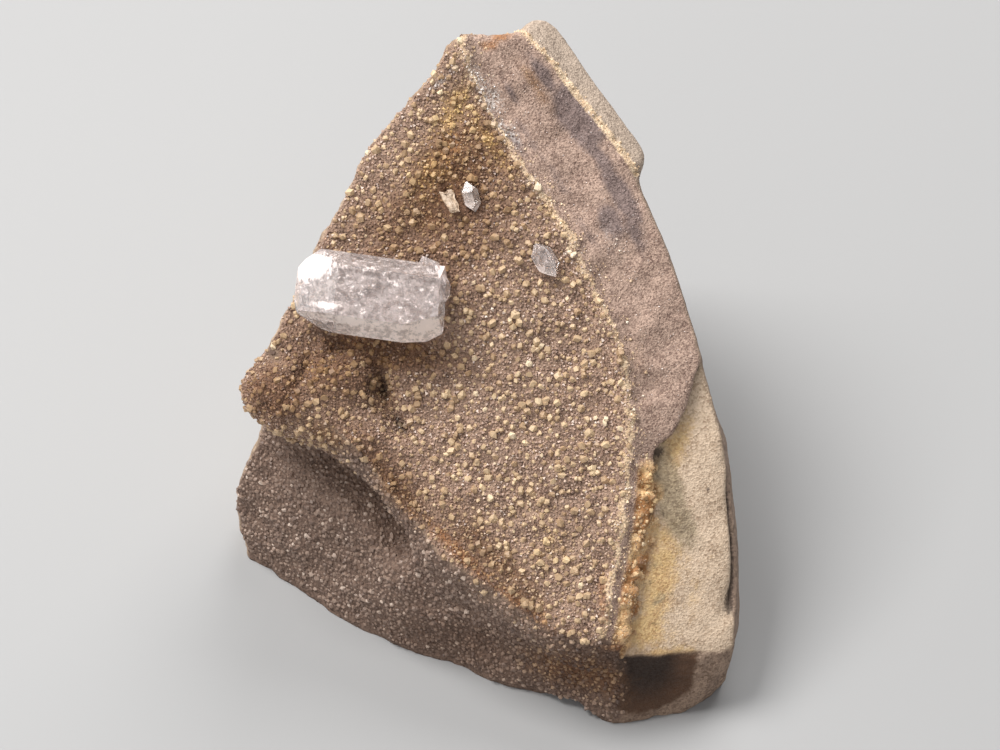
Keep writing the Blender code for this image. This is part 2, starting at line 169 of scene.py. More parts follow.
class Paint(Tree):
    def __init__(self, name):
        self.material = bpy.data.materials.new(name)
        self.material.use_nodes = True
        super().__init__(self.material.node_tree)
        place = self.node("ShaderNodeTexCoord", output="Object")
        scale = {"operation": "SCALE"}
        self.at = self.node("ShaderNodeVectorMath", scale, {"Vector": place, "Scale": 1000.0})  # in mm

    def noise(self, length, detail=2.0, roughness=0.5, distortion=0.0, at=None):
        sizes = {"Scale": 1 / length, "Detail": detail, "Roughness": roughness, "Distortion": distortion}
        return self.node("ShaderNodeTexNoise", None, {"Vector": at or self.at, **sizes})

    def cells(self, length, feature="F1", randomness=1.0, output="Distance"):
        sizes = {"Vector": self.at, "Scale": 1 / length, "Randomness": randomness}
        return self.node("ShaderNodeTexVoronoi", {"feature": feature}, sizes, output)

    def region(self, name):
        return self.node("ShaderNodeAttribute", {"attribute_name": name}, output="Fac")

    def step(self, value, low, high, bottom=0.0, top=1.0):
        ends = {0: value, 1: low, 2: high, 3: bottom, 4: top}
        return self.node("ShaderNodeMapRange", {"interpolation_type": "SMOOTHSTEP"}, ends)

    def mix(self, share, first, second, blend="MIX"):
        settings = {"data_type": "RGBA", "blend_type": blend}
        return self.node("ShaderNodeMix", settings, {0: share, 6: first, 7: second}, 2)

    def bump(self, height, strength=1.0):
        return self.node(
            "ShaderNodeBump", None, {"Height": height, "Strength": strength, "Distance": 0.001}
        )

    def surface(self, **inputs):
        named = {name.replace("_", " "): value for name, value in inputs.items()}
        return self.node("ShaderNodeBsdfPrincipled", None, named)

    def finish(self, shader):
        self.node("ShaderNodeOutputMaterial", None, {"Surface": shader})
        return self.material


def tint(red, green, blue):
    shares = [value / 255 for value in (red, green, blue)]
    linear = [s / 12.92 if s < 0.04045 else ((s + 0.055) / 1.055) ** 2.4 for s in shares]
    return (*linear, 1.0)


# The rock's form, as fields that are below zero inside

rockForm = {
    "skinCentre": (-78.6, -24.1, 0.0),
    "skinRadius": 103.4,
    "breaks": {  # a point, the way the break faces in the wall's plane, and how far it tips out
        "left": ((-17.6, 13.0, 0.0), 153.8, -10),
        "upperLeft": ((-8.4, 27.8, 0.0), 136, -18),
        "back": ((-2.0, 34.3, 0.0), 104, -28),
        "backChip": ((-12.0, 24.0, -26.0), 142, -33),
        "backRight": ((16.0, 16.0, -36.0), 52, -38),
        "strip": ((9.0, 27.2, -1.0), 36.0, 46),
        "lowerWallLeft": ((-20.3, -22.5, -18.0), 218.7, 40),
        "lowerWallRight": ((0.0, -31.0, -10.9), 238.8, 39.6),
        "lowerEnd": ((-27.0, -12.0, -18.0), 184, -8),
        "frontFoot": ((17.0, -28.1, -2.6), 285, 50),
        "rightFoot": ((23.0, -31.6, -8.0), 310, 24),
    },
    "edgeRounding": 0.25,
    "sharpRounding": 0.15,
    "knob": ((-19.6, -1.9, -3.3), (5.1, 3.5, 4.0), -15),  # centre, radii, turn
    "stub": ((-2.9, 32.4, -1.6), (1.2, 1.5, 1.5), 40),
    "lip": (
        (-19.5, -2.2, -3.2), (-14.6, -4.2, -2.9), (-10.0, -7.4, -2.9), (-5.6, -12.6, -3.1),
        (-1.6, -17.6, -3.0), (0.2, -19.4, -2.9), (4.6, -22.0, -2.9), (8.4, -24.0, -3.0),
    ),
    "rim": ((5.0, 34.3, -3.6), (9.2, 28.2, -3.8), (13.4, 22.5, -4.2)),
    "rind": ((21.2, -7.0, -6.0), (22.3, -15.0, -6.5), (22.5, -24.5, -7.5)),
    "ribRadii": (2.9, 2.1, 2.35),
    "joinRounding": 1.1,
    "rimRounding": 0.8,
    "undercut": ((-24.5, -6.5, -7.8), (-17.2, -8.0, -5.7), (-12.2, -11.0, -5.8), (-8.6, -15.2, -5.8)),
    "undercutRadius": 2.0,
    "undercutRounding": 1.5,
    "footScoop": ((8.0, -38.0, -12.0), 6.2),
    "crest": (  # u at each v
        (-27, 11.0), (-22, 11.8), (-17, 12.9), (-10, 13.6), (-3, 13.9), (3, 13.0),
        (10, 9.9), (16, 6.9), (22, 2.6), (27, -0.2), (32, -2.6),
    ),
    "crestHeight": 0.55,
    "crestWidth": 0.7,
    "outerSlope": 0.17,
    "crustEdge": (
        (-28, 13.0), (-24, 14.0), (-18, 15.4), (-13, 16.3), (-8.5, 16.5), (-7.0, 16.8),
        (-5.5, 18.4), (-3.0, 19.6), (0.5, 20.6), (4.0, 23.0), (12.0, 30.0),
    ),
    "crustStep": 1.3,
    "crustBluntness": 0.2,
    "dents": (  # middle, half length, half width, direction, height
        ((-10.7, -0.6), 2.3, 0.95, 98, -2.2),
        ((-9.2, -4.2), 1.9, 0.8, 120, -2.0),
        ((-15.4, 3.3), 1.4, 0.75, 40, -1.1),
        ((-18.5, 1.2), 2.1, 0.75, 72, -0.8),
        ((-14.5, 0.3), 2.6, 2.4, 0, 1.3),
        ((-22.0, -1.0), 2.2, 2.0, 20, 0.5),
        ((-12.6, -6.2), 2.4, 1.8, -40, 0.5),
        ((-3.0, 9.0), 9.0, 7.0, 60, 0.5),
        ((8.0, 26.5), 6.0, 1.6, -52, -0.45),
    ),
    "frontDepth": (-13.0, -6.0),
    "chips": 15,
    "chipFacings": (58, 172),
    "chipTips": (-52, -14),
    "chipRadii": (8.0, 15.0),
    "chipDepths": (1.1, 2.2),
    "chipRounding": 0.25,
    "rindCracks": ((-3.4, 0.30, 0.95), (-6.2, 0.3, 0.6)),  # w, half width, depth
    "crackEnds": (-25.0, -9.0),
    "crackFade": 3.0,
    "crackWander": 0.12,
    "crackWave": 2.5,
    "rindBand": (-2.5, -1.0),
    "roughWaves": ((6.0, 0.35), (2.6, 0.16)),
    "brokenWaves": ((1.3, 0.13), (0.7, 0.07)),
    "drusyWaves": ((1.5, 0.10), (0.8, 0.05)),
    "waveReach": 0.62,
    "rayStart": (-1.0, 1.0, -19.0),
    "rayReach": 80.0,
    "rayHalvings": 22,
    "raySphere": 8,
    "spareBase": 3.5,
    "voxel": 0.33,
    "seatGap": 0.12,
    "seed": 41,
}


def pointing(facing, tip):
    facing, tip = math.radians(facing), math.radians(tip)
    return np.array(
        (math.cos(facing) * math.cos(tip), math.sin(facing) * math.cos(tip), math.sin(tip))
    )


def smoothMax(fields, rounding):
    stack = np.stack(fields)
    top = stack.max(axis=0)
    return top + rounding * np.log(np.exp((stack - top) / rounding).sum(axis=0))


def smoothMin(fields, rounding):
    return -smoothMax([-field for field in fields], rounding)


def smoothStep(low, high, values):
    share = np.clip((values - low) / (high - low), 0, 1)
    return share * share * (3 - 2 * share)


def readCurve(curve, v):
    places = np.array(curve)
    return np.interp(v, places[:, 0], places[:, 1])


def wallHeightAt(u, v):
    outside = u - readCurve(rockForm["crest"], v)
    crest = rockForm["crestHeight"] * np.exp(-((outside / rockForm["crestWidth"]) ** 2))
    fall = rockForm["outerSlope"] * np.clip(outside, 0, None)
    pastEdge = (u - readCurve(rockForm["crustEdge"], v)) / rockForm["crustBluntness"]
    return crest - fall - rockForm["crustStep"] * smoothStep(-1, 1, pastEdge)


def dentsAt(points):
    total = np.zeros(len(points))
    for (u, v), length, width, turn, height in rockForm["dents"]:
        total += height * blot(points, u, v, length, width, turn)
    return total * smoothStep(*rockForm["frontDepth"], points[:, 2])


def blot(points, u, v, length, width, turn=0.0):
    along = pointing(turn, 0)
    du, dv = points[:, 0] - u, points[:, 1] - v
    far = (du * along[0] + dv * along[1]) / length
    wide = (dv * along[0] - du * along[1]) / width
    return np.exp(-(far * far + wide * wide))


def breakField(points, place, facing, tip):
    return (points - np.array(place)) @ pointing(facing, tip)


def lumpField(points, centre, radii, turn):
    turnedBack = np.array(Matrix.Rotation(math.radians(-turn), 3, "Z"))
    local = (points - np.array(centre)) @ turnedBack.T
    return (np.linalg.norm(local / np.array(radii), axis=1) - 1) * min(radii)


def ribField(points, path, radius):
    nearest = np.full(len(points), np.inf)
    for start, end in zip(path, path[1:]):
        start, run = np.array(start), np.array(end) - np.array(start)
        share = np.clip((points - start) @ run / (run @ run), 0, 1)
        gap = np.linalg.norm(points - start - share[:, None] * run, axis=1)
        nearest = np.minimum(nearest, gap)
    return nearest - radius


def rockFields(points):
    fields = {name: breakField(points, *facts) for name, facts in rockForm["breaks"].items()}
    away = np.linalg.norm(points - np.array(rockForm["skinCentre"]), axis=1)
    fields["skin"] = away - rockForm["skinRadius"]
    fields["front"] = points[:, 2] - wallHeightAt(points[:, 0], points[:, 1])
    return fields


def coreField(points):
    fields = rockFields(points)
    wedge = smoothMax(list(fields.values()), rockForm["edgeRounding"])
    ribs = [ribField(points, rockForm[name], radius)
            for name, radius in zip(("lip", "rim", "rind"), rockForm["ribRadii"])]
    sharp = rockForm["sharpRounding"]
    rind = smoothMax([ribs[2], fields["frontFoot"], fields["rightFoot"]], sharp)
    lumps = [lumpField(points, *rockForm[name]) for name in ("knob", "stub")]
    joined = smoothMin([wedge, ribs[0], rind, *lumps], rockForm["joinRounding"])
    return smoothMax([smoothMin([joined, ribs[1]], rockForm["rimRounding"]), fields["strip"]], sharp)


def surfaceAlong(field, directions):
    start = np.array(rockForm["rayStart"])
    near, far = np.zeros(len(directions)), np.full(len(directions), rockForm["rayReach"])
    for _ in range(rockForm["rayHalvings"]):
        middle = (near + far) / 2
        inside = field(start + directions * middle[:, None]) < 0
        near, far = np.where(inside, middle, near), np.where(inside, far, middle)
    return start + directions * near[:, None]


def chipBalls():
    random = np.random.default_rng(rockForm["seed"])
    count = rockForm["chips"]
    facings = random.uniform(*rockForm["chipFacings"], count)
    tips = random.uniform(*rockForm["chipTips"], count)
    directions = np.array([pointing(*way) for way in zip(facings, tips)])
    radii = random.uniform(*rockForm["chipRadii"], count)
    out = radii - random.uniform(*rockForm["chipDepths"], count)
    return list(zip(surfaceAlong(coreField, directions) + directions * out[:, None], radii))


def rockField(points, chips):
    balls = [*chips, rockForm["footScoop"]]
    dishes = [radius - np.linalg.norm(points - np.array(centre), axis=1) for centre, radius in balls]
    hollow = -ribField(points, rockForm["undercut"], rockForm["undercutRadius"])
    core = smoothMax([coreField(points), hollow], rockForm["undercutRounding"])
    chipped = smoothMax([core, *dishes], rockForm["chipRounding"])
    ground = -heightAboveGround(points) - rockForm["spareBase"]
    return smoothMax([chipped - dentsAt(points), ground], rockForm["edgeRounding"])


def waves(points, length):
    made = [noise.noise(Vector(point) / length) for point in points]
    return np.array(made) / rockForm["waveReach"]


def rindCracksAt(points):
    v, w = points[:, 1], points[:, 2]
    underSkin = np.linalg.norm(points - np.array(rockForm["skinCentre"]), axis=1)
    underSkin = underSkin - rockForm["skinRadius"]
    bottom, top = rockForm["crackEnds"]
    fade = rockForm["crackFade"]
    along = smoothStep(bottom, bottom + fade, v) * smoothStep(top, top - fade, v)
    total = np.zeros(len(points))
    for middle, halfWidth, depth in rockForm["rindCracks"]:
        wander = rockForm["crackWander"] * np.sin(v / rockForm["crackWave"])
        away = (w - middle - wander) / halfWidth
        total += depth * np.exp(-away * away)
    return total * along * smoothStep(*rockForm["rindBand"], underSkin)


def addObject(name, mesh, material=None):
    obj = bpy.data.objects.new(name, mesh)
    bpy.context.scene.collection.objects.link(obj)
    if material is not None:
        mesh.materials.clear()
        mesh.materials.append(material)
    return obj


def evaluatedMesh(obj):
    bpy.context.view_layer.update()
    graph = bpy.context.evaluated_depsgraph_get()
    return bpy.data.meshes.new_from_object(obj.evaluated_get(graph))


def bakeModifier(obj, kind, **settings):
    modifier = obj.modifiers.new(kind.title(), kind)
    for name, value in settings.items():
        setattr(modifier, name, value)
    made = evaluatedMesh(obj)
    obj.modifiers.clear()
    obj.data = made


def meshPoints(mesh):
    points = np.empty(len(mesh.vertices) * 3, np.float32)
    normals = np.empty(len(mesh.vertices) * 3, np.float32)
    mesh.vertices.foreach_get("co", points)
    mesh.vertex_normals.foreach_get("vector", normals)
    return points.reshape(-1, 3).astype(float), normals.reshape(-1, 3).astype(float)


def setPoints(mesh, points):
    mesh.vertices.foreach_set("co", points.astype(np.float32).ravel())
    mesh.update()


def setRegions(mesh, regions):
    for name, values in regions.items():
        layer = mesh.attributes.new(name, "FLOAT", "POINT")
        layer.data.foreach_set("value", values.astype(np.float32))


# Where each stain lies, and each patch of painted shade in the crevices, the hollow of the foot and towards the bottom:
# middle, half length, half width, direction, strength

stainsAndShade = {
    "brown": (
        (-4.5, 20.5, 8.5, 4.0, 52, 1.0), (-2.5, 25.5, 4.0, 2.0, 60, 0.7), (-9.5, 13.5, 4.0, 2.0, 40, 0.5),
        (0.5, -18.2, 9.0, 2.0, -45, 0.75), (-9.0, -11.5, 5.0, 1.7, -48, 0.8), (-16.0, -5.8, 5.0, 1.4, -30, 0.7),
        (-12.0, 3.4, 7.0, 0.8, -15, 0.6), (-10.5, -1.5, 2.5, 1.4, 98, 0.7), (4.5, 29.5, 4.0, 0.9, -55, 0.7),
        (9.0, -29.6, 7.0, 2.6, -18, 0.8), (15.0, 2.0, 8.0, 2.0, -80, 0.35),
    ),
    # darker over these patches: on the upper left, under the big crystal and on the knob; in the knob's crevices and at
    # the foot this is painted shade
    "deep": (
        (-3.0, 17.0, 11.0, 6.0, 58, 0.9), (-16.0, 1.0, 8.0, 4.5, -10, 1.0), (-9.0, 9.0, 6.0, 4.0, 0, 0.6),
        (-12.0, -8.0, 8.0, 3.0, -45, 0.9), (-1.0, -16.5, 8.0, 2.0, -45, 0.5), (-10.0, 15.0, 6.0, 4.0, 55, 0.7),
        (-21.6, -1.2, 4.0, 3.4, 0, 1.3), (9.5, -29.6, 8.0, 3.2, -12, 0.95), (-11.0, 2.9, 7.5, 2.2, -8, 1.5), (-2.0, -27.0, 8.0, 3.0, -20, 0.6),
    ),
    "olive": (
        (17.9, -11.0, 4.4, 1.7, -78, 1.2), (19.2, -14.4, 3.0, 1.6, -60, 1.1), (17.2, -22.0, 1.6, 0.7, 40, 0.7),
        (16.4, -18.6, 1.2, 0.5, 0, 0.6),
    ),
    "yellow": (
        (-3.6, 27.0, 3.6, 1.6, 62, 0.9), (0.0, 23.8, 5.5, 1.0, -56, 0.7), (5.6, 17.4, 3.0, 0.8, -52, 0.5),
        (-5.5, 21.0, 4.5, 2.6, 50, 0.6), (-17.0, 1.0, 3.0, 1.6, 20, 0.4), (6.0, -16.0, 6.0, 4.0, -60, 0.35),
        (15.7, -10.6, 2.4, 0.9, 84, 1.1), (13.6, -24.4, 1.0, 0.8, 0, 0.8),
    ),
    "rust": (
        (-3.0, -17.2, 7.5, 0.9, -44, 0.8), (3.5, -22.8, 5.0, 0.8, -35, 0.75), (11.3, -22.0, 4.5, 0.7, 95, 0.7),
        (14.2, -18.6, 4.0, 0.8, 80, 0.5), (1.2, 34.4, 1.5, 0.7, 10, 1.0), (-0.2, 33.4, 1.0, 0.7, 0, 0.9),
        (-4.5, 23.0, 4.5, 1.8, 60, 0.5), (12.8, -26.8, 2.0, 0.7, 0, 0.7), (-8.0, -13.5, 3.0, 0.7, -50, 0.5),
    ),
    "white": (
        (-0.3, 28.8, 3.6, 1.3, -58, 0.9), (1.6, 25.0, 2.8, 1.1, -56, 0.8), (12.3, 14.0, 3.5, 1.2, -65, 0.45),
        (14.6, 9.0, 4.0, 1.0, -72, 0.35), (4.6, 19.0, 2.5, 0.8, -55, 0.5), (8.0, 12.4, 2.5, 0.7, -65, 0.4),
        (-4.4, 30.3, 2.8, 0.35, 42, 0.9), (-0.4, 27.4, 1.4, 0.7, -56, 0.8),
    ),
    "grey": (
        (8.9, 26.0, 3.4, 1.5, -50, 1.2), (13.2, 18.6, 3.8, 1.2, -62, 1.0), (10.9, 22.6, 4.5, 0.9, -54, 0.8),
        (5.4, 30.6, 3.0, 0.8, -54, 0.8), (-16.5, 4.0, 2.4, 1.0, 35, 0.5), (2.2, 28.6, 2.2, 0.5, -58, 0.7),
        (8.6, 27.2, 2.8, 1.6, -50, 1.5), (3.4, 25.0, 3.0, 0.6, -56, 0.5), (6.6, 20.4, 3.4, 0.7, -56, 0.55),
        (9.8, 14.6, 3.4, 0.7, -62, 0.45), (14.6, 14.6, 2.4, 1.0, -64, 0.7), (8.0, 27.0, 1.8, 1.6, -50, 1.0),
        (-19.5, 1.8, 2.5, 0.9, 70, 0.5), (2.4, 24.0, 2.0, 0.5, -56, 0.7), (12.0, 16.0, 2.5, 1.4, -62, 0.8),
    ),
    "ochre": (
        (17.0, -20.0, 6.5, 2.2, 82, 1.0), (16.0, -25.0, 3.0, 2.0, 60, 1.0), (18.6, -7.0, 4.5, 1.6, 75, 0.7),
        (17.5, -27.6, 4.0, 0.7, 0, 0.8), (20.4, -22.0, 4.0, 1.6, 80, 0.4),
    ),
    # the scoop under the foot, painted dark: its own brown deepened by painted shade in the hollow
    "scoop": ((15.2, -28.5, 5.9, 5.5, 0, 1.7),),
    # painted shade in the knob's crevices and dents, with small dark specks on the facet and rind
    "shade": (
        (-10.6, -0.9, 2.0, 0.8, 98, 0.9), (-9.0, -4.4, 1.6, 0.8, 120, 1.0), (-15.4, 3.3, 1.2, 0.6, 40, 0.6),
        (17.0, -7.3, 0.8, 0.6, 60, 1.0), (16.2, -13.4, 0.7, 0.4, 30, 0.9), (-18.8, 1.4, 1.6, 0.35, 80, 0.8),
        (-22.6, -2.3, 1.8, 0.4, -40, 0.7), (-16.3, 1.5, 0.7, 0.3, 60, 0.8), (-20.6, 0.6, 1.1, 0.3, 20, 0.6),
        (22.0, -11.0, 0.6, 0.35, 90, 0.8), (16.1, -20.4, 0.6, 0.4, 60, 0.7), (18.3, -21.6, 0.7, 0.4, 20, 0.7),
        (16.6, -24.6, 0.45, 0.3, 0, 0.8), (16.9, -26.4, 0.6, 0.3, 0, 0.7), (20.6, -16.0, 0.5, 0.3, 0, 0.6),
        (19.4, -10.4, 0.5, 0.4, 0, 0.6), (17.4, -13.6, 0.4, 0.5, 0, 0.6),
    ),
}


def stainAndShadeRegions(points):
    regions = {}
    for name, blots in stainsAndShade.items():
        total = np.zeros(len(points))
        for u, v, length, width, turn, strength in blots:
            total = np.maximum(total, strength * blot(points, u, v, length, width, turn))
        regions[name] = total
    return regions


def owned(fields, names):
    # how far these breaks stand over all the others, which is where the surface is theirs
    mine = np.maximum.reduce([fields[name] for name in names])
    rest = np.maximum.reduce([value for name, value in fields.items() if name not in names])
    return smoothStep(-0.15, 0.15, mine - rest)


def nearRib(points, name, low, high):
    radius = rockForm["ribRadii"][("lip", "rim", "rind").index(name)]
    return 1 - smoothStep(low, high, np.abs(ribField(points, rockForm[name], radius)))


def rockRegions(points):
    fields = rockFields(points)
    fields["front"] = fields["front"] - dentsAt(points)
    u, v, w = points.T
    wander = 0.35 * waves(points, 1.3)
    wall = owned(fields, ["front"])
    pastCrest = u - readCurve(rockForm["crest"], v) + wander
    pastEdge = u - readCurve(rockForm["crustEdge"], v)
    lip = nearRib(points, "lip", 0.25, 0.9)
    knob = 1 - smoothStep(0.9, 2.0, np.abs(lumpField(points, *rockForm["knob"])))
    stub = smoothStep(-2.0, -2.6, u) * smoothStep(30.4, 31.2, v)
    rim = nearRib(points, "rim", 0.2, 0.5)
    walls = np.maximum(fields["lowerWallLeft"], fields["lowerWallRight"])
    hollow = np.abs(ribField(points, rockForm["undercut"], rockForm["undercutRadius"]))
    upper = wall * smoothStep(0.4, -0.2, pastCrest)
    upper = np.clip(upper + np.maximum(lip, knob * smoothStep(-9.0, -6.5, w)), 0, 1)
    foot = owned(fields, ["frontFoot", "rightFoot"])
    drusyFoot = foot * smoothStep(13.9, 12.9, u + 2 * wander)
    end = owned(fields, ["lowerEnd", "left", "upperLeft"])
    lower = np.maximum(smoothStep(-2.4, -1.0, walls) * (1 - end), 1 - smoothStep(1.0, 2.2, hollow))
    lower = np.maximum(lower * (1 - foot), drusyFoot) * (1 - upper) * (1 - wall)
    onStrip = (1 - smoothStep(0.2, 0.5, np.abs(fields["strip"]))) * smoothStep(18.6, 19.6, v)
    strip = np.maximum(owned(fields, ["strip"]), np.maximum(rim, onStrip) * (1 - wall))
    above = smoothStep(0.5, 1.0, heightAboveGround(points))
    crust = wall * smoothStep(-0.2, 0.4, pastCrest) * smoothStep(0.1, -0.1, pastEdge)
    rusty = smoothStep(0.9, 1.4, pastCrest - wander) * smoothStep(0.7, 0.1, pastEdge + 1.8 * wander)
    regions = {
        "upper": upper,
        "lower": lower,
        "crust": crust,
        "facet": wall * smoothStep(-0.1, 0.1, pastEdge),
        "strip": strip,
        "stripLine": np.exp(-(((fields["strip"] - fields["front"]) / 0.3) ** 2))
        * smoothStep(20.2, 20.8, v) * smoothStep(-4.6, -3.8, w),
        "skin": owned(fields, ["skin"]) * (1 - strip),
        "crack": np.clip(rindCracksAt(points) / 0.6, 0, 1),
        "foot": foot,
        "stub": stub,
        "rustBand": wall * rusty * smoothStep(-7.5, -9.0, v),
        "crestLine": wall * np.exp(-((pastCrest / 0.48) ** 2)) * (0.85 + 0.15 * smoothStep(6.0, -4.0, v)),
        "edgeLine": wall * np.exp(-(((pastEdge - 0.1) / 0.22) ** 2)) * smoothStep(-10.0, -8.0, v),
        **stainAndShadeRegions(points),
    }
    grains = {
        "upperGrains": upper,
        "lowerGrains": lower,
        "crustGrains": np.clip(crust * 0.8 + 0.2 * strip * wall, 0, 1),
        "crestGrains": wall * np.maximum(
            np.exp(-(((pastCrest - 0.05) / 0.55) ** 2)),
            crust * np.maximum(
                smoothStep(0.2, 0.8, regions["white"]) * 0.5, 0.3 * np.exp(-(((pastCrest - 0.9) / 0.9) ** 2))
            ),
        ),
        "lineGrains": regions["stripLine"],
        "rustGrains": regions["rustBand"],
    }
    front = np.clip(upper + lower + crust + regions["facet"] + strip * wall + foot + stub, 0, 1)
    for name in stainsAndShade:
        regions[name] = regions[name] * front
    # the darkening of these patches is kept to the upper wall and to the bottom, where it is partly painted shade
    regions["deep"] = regions["deep"] * np.clip(upper + smoothStep(-22.0, -26.0, v), 0, 1)
    bare = above * (1 - underCrystals(points))
    regions.update({name: share * bare for name, share in grains.items()})
    return regions


def relief(points, regions):
    rough = sum(height * waves(points, length) for length, height in rockForm["roughWaves"])
    broken = sum(height * waves(points, length) for length, height in rockForm["brokenWaves"])
    drusy = sum(height * waves(points, length) for length, height in rockForm["drusyWaves"])
    soft = np.clip(regions["upper"] + regions["lower"] + regions["crust"], 0, 1)
    calm = 1 - 0.75 * np.maximum.reduce([regions["facet"], regions["strip"], regions["skin"]])
    rough, broken = rough * calm, broken * calm
    crumbs = regions["rustBand"] * 0.35 * waves(points, 0.8) + regions["stripLine"] * 0.25 * waves(points, 0.7)
    crack = 0.35 * regions["edgeLine"]
    return rough + broken * (1 - soft) + drusy * soft + crumbs - crack - rindCracksAt(points)


def crystalTree(name):
    mesh = frame["nodes"][name].data.copy()
    mesh.transform(faceToWorld().inverted())
    solid = bmesh.new()
    solid.from_mesh(mesh)
    tree = BVHTree.FromBMesh(solid)
    solid.free()
    corners = meshPoints(mesh)[0]
    bpy.data.meshes.remove(mesh)
    return tree, corners.min(axis=0), corners.max(axis=0)


crystalTrees = [crystalTree(name) for name in frame["nodes"] if name != "septarian_rock"]


def underCrystals(points):
    covered = np.zeros(len(points))
    out = Vector((0, 0, 1))
    for tree, low, high in crystalTrees:
        near = ((points[:, :2] > low[:2]) & (points[:, :2] < high[:2]) & (points[:, 2:] < high[2:])).all(axis=1)
        for index in np.flatnonzero(near):
            if tree.ray_cast(Vector(points[index]), out, 8.0)[0]:
                covered[index] = 1
    return covered


def seatCrystals(points):
    # rock that would be inside a crystal is drawn back out of it, down into the wall
    margin = 2 * rockForm["seatGap"]
    for tree, low, high in crystalTrees:
        inBox = ((points > low - margin) & (points < high + margin)).all(axis=1)
        for index in np.flatnonzero(inBox):
            points[index] = drawnBack(tree, points[index])


def drawnBack(tree, point):
    stepDown, gap = 0.05, rockForm["seatGap"]
    moved = Vector(point)
    for _ in range(120):
        place, normal, _, distance = tree.find_nearest(moved)
        if (moved - place).dot(normal) > 0 and distance > gap:
            break
        moved.z -= stepDown
    return np.array(moved)


def grindBase(mesh):
    solid = bmesh.new()
    solid.from_mesh(mesh)
    everything = list(solid.verts) + list(solid.edges) + list(solid.faces)
    cut = bmesh.ops.bisect_plane(
        solid, geom=everything, plane_co=(0, 0, 0), plane_no=(0, 0, -1), clear_outer=True
    )
    rim = [item for item in cut["geom_cut"] if isinstance(item, bmesh.types.BMEdge)]
    filled = bmesh.ops.triangle_fill(solid, edges=rim, use_beauty=True, normal=(0, 0, -1))
    for item in filled["geom"]:
        if isinstance(item, bmesh.types.BMFace):
            item.smooth = False
    bmesh.ops.recalc_face_normals(solid, faces=solid.faces)
    solid.to_mesh(mesh)
    solid.free()


def shapeRock():
    chips = chipBalls()
    ball = bmesh.new()
    bmesh.ops.create_icosphere(ball, subdivisions=rockForm["raySphere"], radius=1)
    directions = np.array([vertex.co.normalized() for vertex in ball.verts])
    mesh = bpy.data.meshes.new("septarianRock")
    ball.to_mesh(mesh)
    ball.free()
    setPoints(mesh, surfaceAlong(lambda points: rockField(points, chips), directions))
    rock = addObject("septarianRock", mesh)
    bakeModifier(rock, "REMESH", mode="VOXEL", voxel_size=rockForm["voxel"], use_smooth_shade=True)
    points, normals = meshPoints(rock.data)
    regions = rockRegions(points)
    points += normals * relief(points, regions)[:, None]
    seatCrystals(points)
    setPoints(rock.data, points)
    setRegions(rock.data, regions)
    print("rock shaped:", len(rock.data.polygons), "faces")
    return rock


rock = shapeRock()

# Grains: small faceted bodies, scattered over the rock by Geometry Nodes

grainShapes = {"count": 6, "seed": 7, "jitter": 0.16, "stretch": (0.8, 1.15)}


def roundPoints(count):
    # spread evenly over a ball, along a spiral
    steps = np.arange(count) + 0.5
    height = 1 - 2 * steps / count
    turn = steps * math.pi * (3 - math.sqrt(5))
    reach = np.sqrt(1 - height * height)
    return np.stack((reach * np.cos(turn), reach * np.sin(turn), height), axis=1)


def grainCollection(name, corners, bodies):
    random = np.random.default_rng(grainShapes["seed"])
    collection = bpy.data.collections.new(name)
    for number in range(grainShapes["count"]):
        solid = bmesh.new()
        for body in range(1 + number % bodies):
            base = roundPoints(corners) + random.uniform(-1, 1, (corners, 3)) * grainShapes["jitter"]
            base = base * random.uniform(*grainShapes["stretch"], 3)
            if body:
                base = base * random.uniform(0.5, 0.8) + random.uniform(-0.75, 0.75, 3) * (1, 1, 0.5)
            made = [solid.verts.new(place) for place in base]
            hull = bmesh.ops.convex_hull(solid, input=made)
            inner = [item for item in hull["geom_interior"] if isinstance(item, bmesh.types.BMVert)]
            bmesh.ops.delete(solid, geom=inner, context="VERTS")
        bmesh.ops.recalc_face_normals(solid, faces=solid.faces)
        mesh = bpy.data.meshes.new(f"{name}{number}")
        solid.to_mesh(mesh)
        solid.free()
        collection.objects.link(bpy.data.objects.new(mesh.name, mesh))
    return collection


